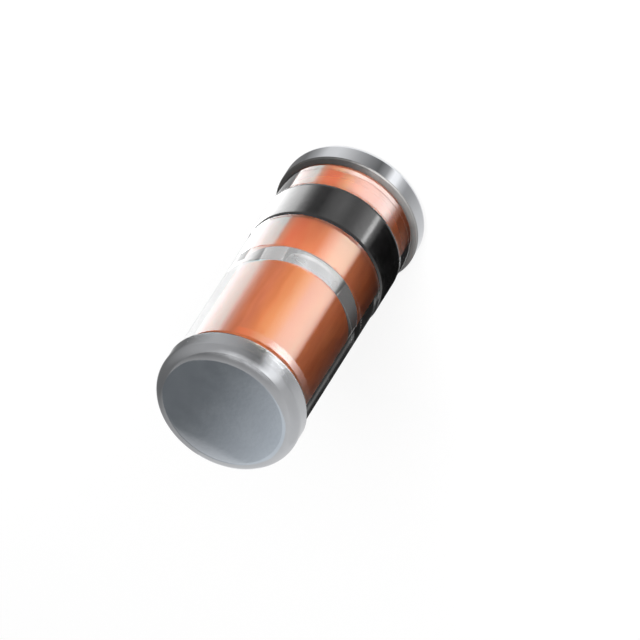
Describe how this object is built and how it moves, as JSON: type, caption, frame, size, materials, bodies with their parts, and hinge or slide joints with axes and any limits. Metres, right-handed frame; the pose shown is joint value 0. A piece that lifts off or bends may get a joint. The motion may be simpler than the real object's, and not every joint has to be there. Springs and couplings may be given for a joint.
{
  "type": "schottky diode",
  "caption": "Leadless cylindrical glass diode: tinned end caps, copper slugs sealed in a clear glass sleeve, a die between them and a black cathode band.",
  "frame": {"origin": "centre of the cathode cap's outer face, on the surface that the part stands on", "axes": "+Z along the package axis, from the banded cathode end up to the anode end"},
  "size_m": [0.0016, 0.0014, 0.0035],
  "materials": {
    "tinned_metal": "satin tin plating",
    "copper_oxide": "matt copper oxide seen through the glass",
    "clear_glass": "clear, fire polished",
    "black_ink": "glossy baked ink",
    "silver_solder": "bright solder",
    "silicon": "sawn silicon"
  },
  "bodies": {
    "root": {"cathode_end_cap": "tinned_metal", "anode_end_cap": "tinned_metal", "cathode_slug": "copper_oxide", "anode_slug": "copper_oxide", "glass_sleeve": "clear_glass", "cathode_band": "black_ink", "die_solder": "silver_solder", "contact_bump": "silver_solder", "silicon_die": "silicon"}
  },
  "joints": []
}
